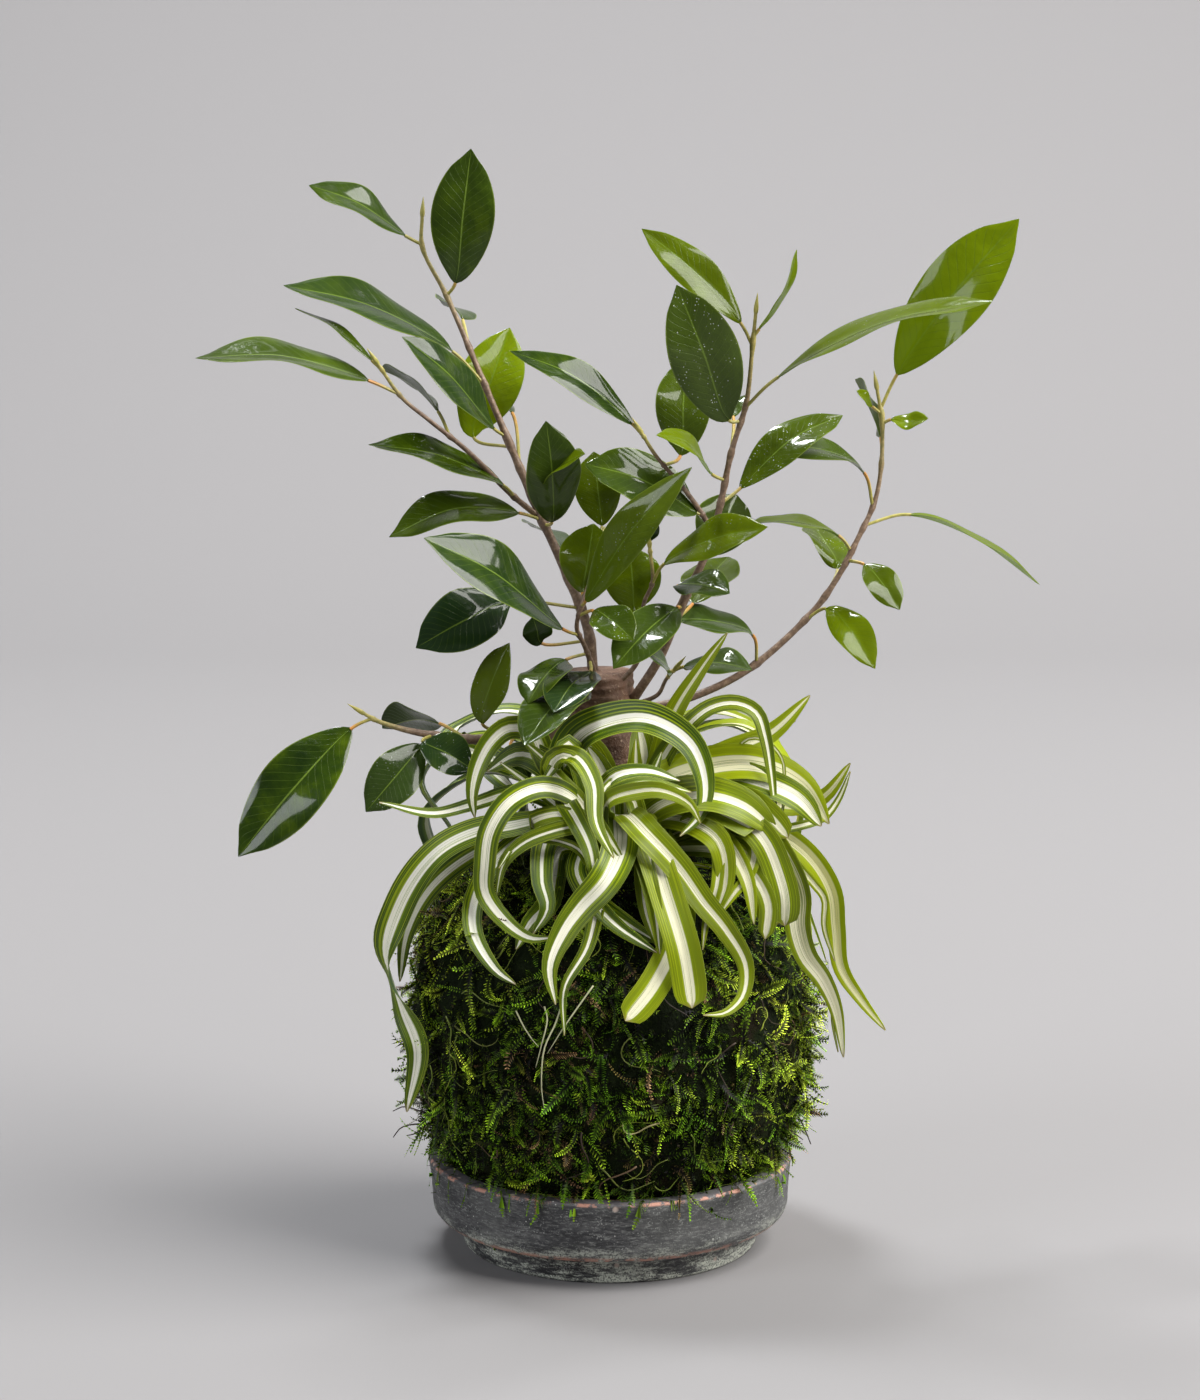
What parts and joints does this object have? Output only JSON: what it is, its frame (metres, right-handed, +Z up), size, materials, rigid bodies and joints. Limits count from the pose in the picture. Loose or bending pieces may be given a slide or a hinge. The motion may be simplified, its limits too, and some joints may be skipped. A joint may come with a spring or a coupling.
{
  "type": "kokedama moss ball plant",
  "caption": "Moss-wrapped soil ball on a round ceramic saucer, with a grafted fig and a curly variegated strap-leaf plant growing from its top.",
  "frame": {"origin": "centre of the saucer's underside", "axes": "+Z up, +Y away from the viewer's front side, +X to the right seen from the front"},
  "size_m": [0.3044, 0.1561, 0.4011],
  "materials": {
    "saucer": "dark weathered unglazed ceramic with pale specks and copper wear on its edges",
    "soil": "dark crumbly moist soil",
    "moss": "deep green feathery moss with olive and brown patches",
    "bark": "red-brown speckled bark",
    "fig_leaf": "glossy dark green leaves on grey-brown stems",
    "strap_leaf": "satin strap leaves, green with a cream stripe down the middle"
  },
  "bodies": {
    "root": {"saucer": "saucer", "soil_ball": "soil", "moss_cover": "moss", "fig_trunk": "bark", "fig_stem_left": "fig_leaf", "fig_stem_right": "fig_leaf", "fig_stem_far_right": "fig_leaf", "fig_stem_front": "fig_leaf", "fig_stem_middle": "fig_leaf", "fig_stem_low_left": "fig_leaf", "fig_stem_low_right": "fig_leaf", "strap_leaves_front": "strap_leaf", "strap_leaves_back": "strap_leaf"}
  },
  "joints": []
}
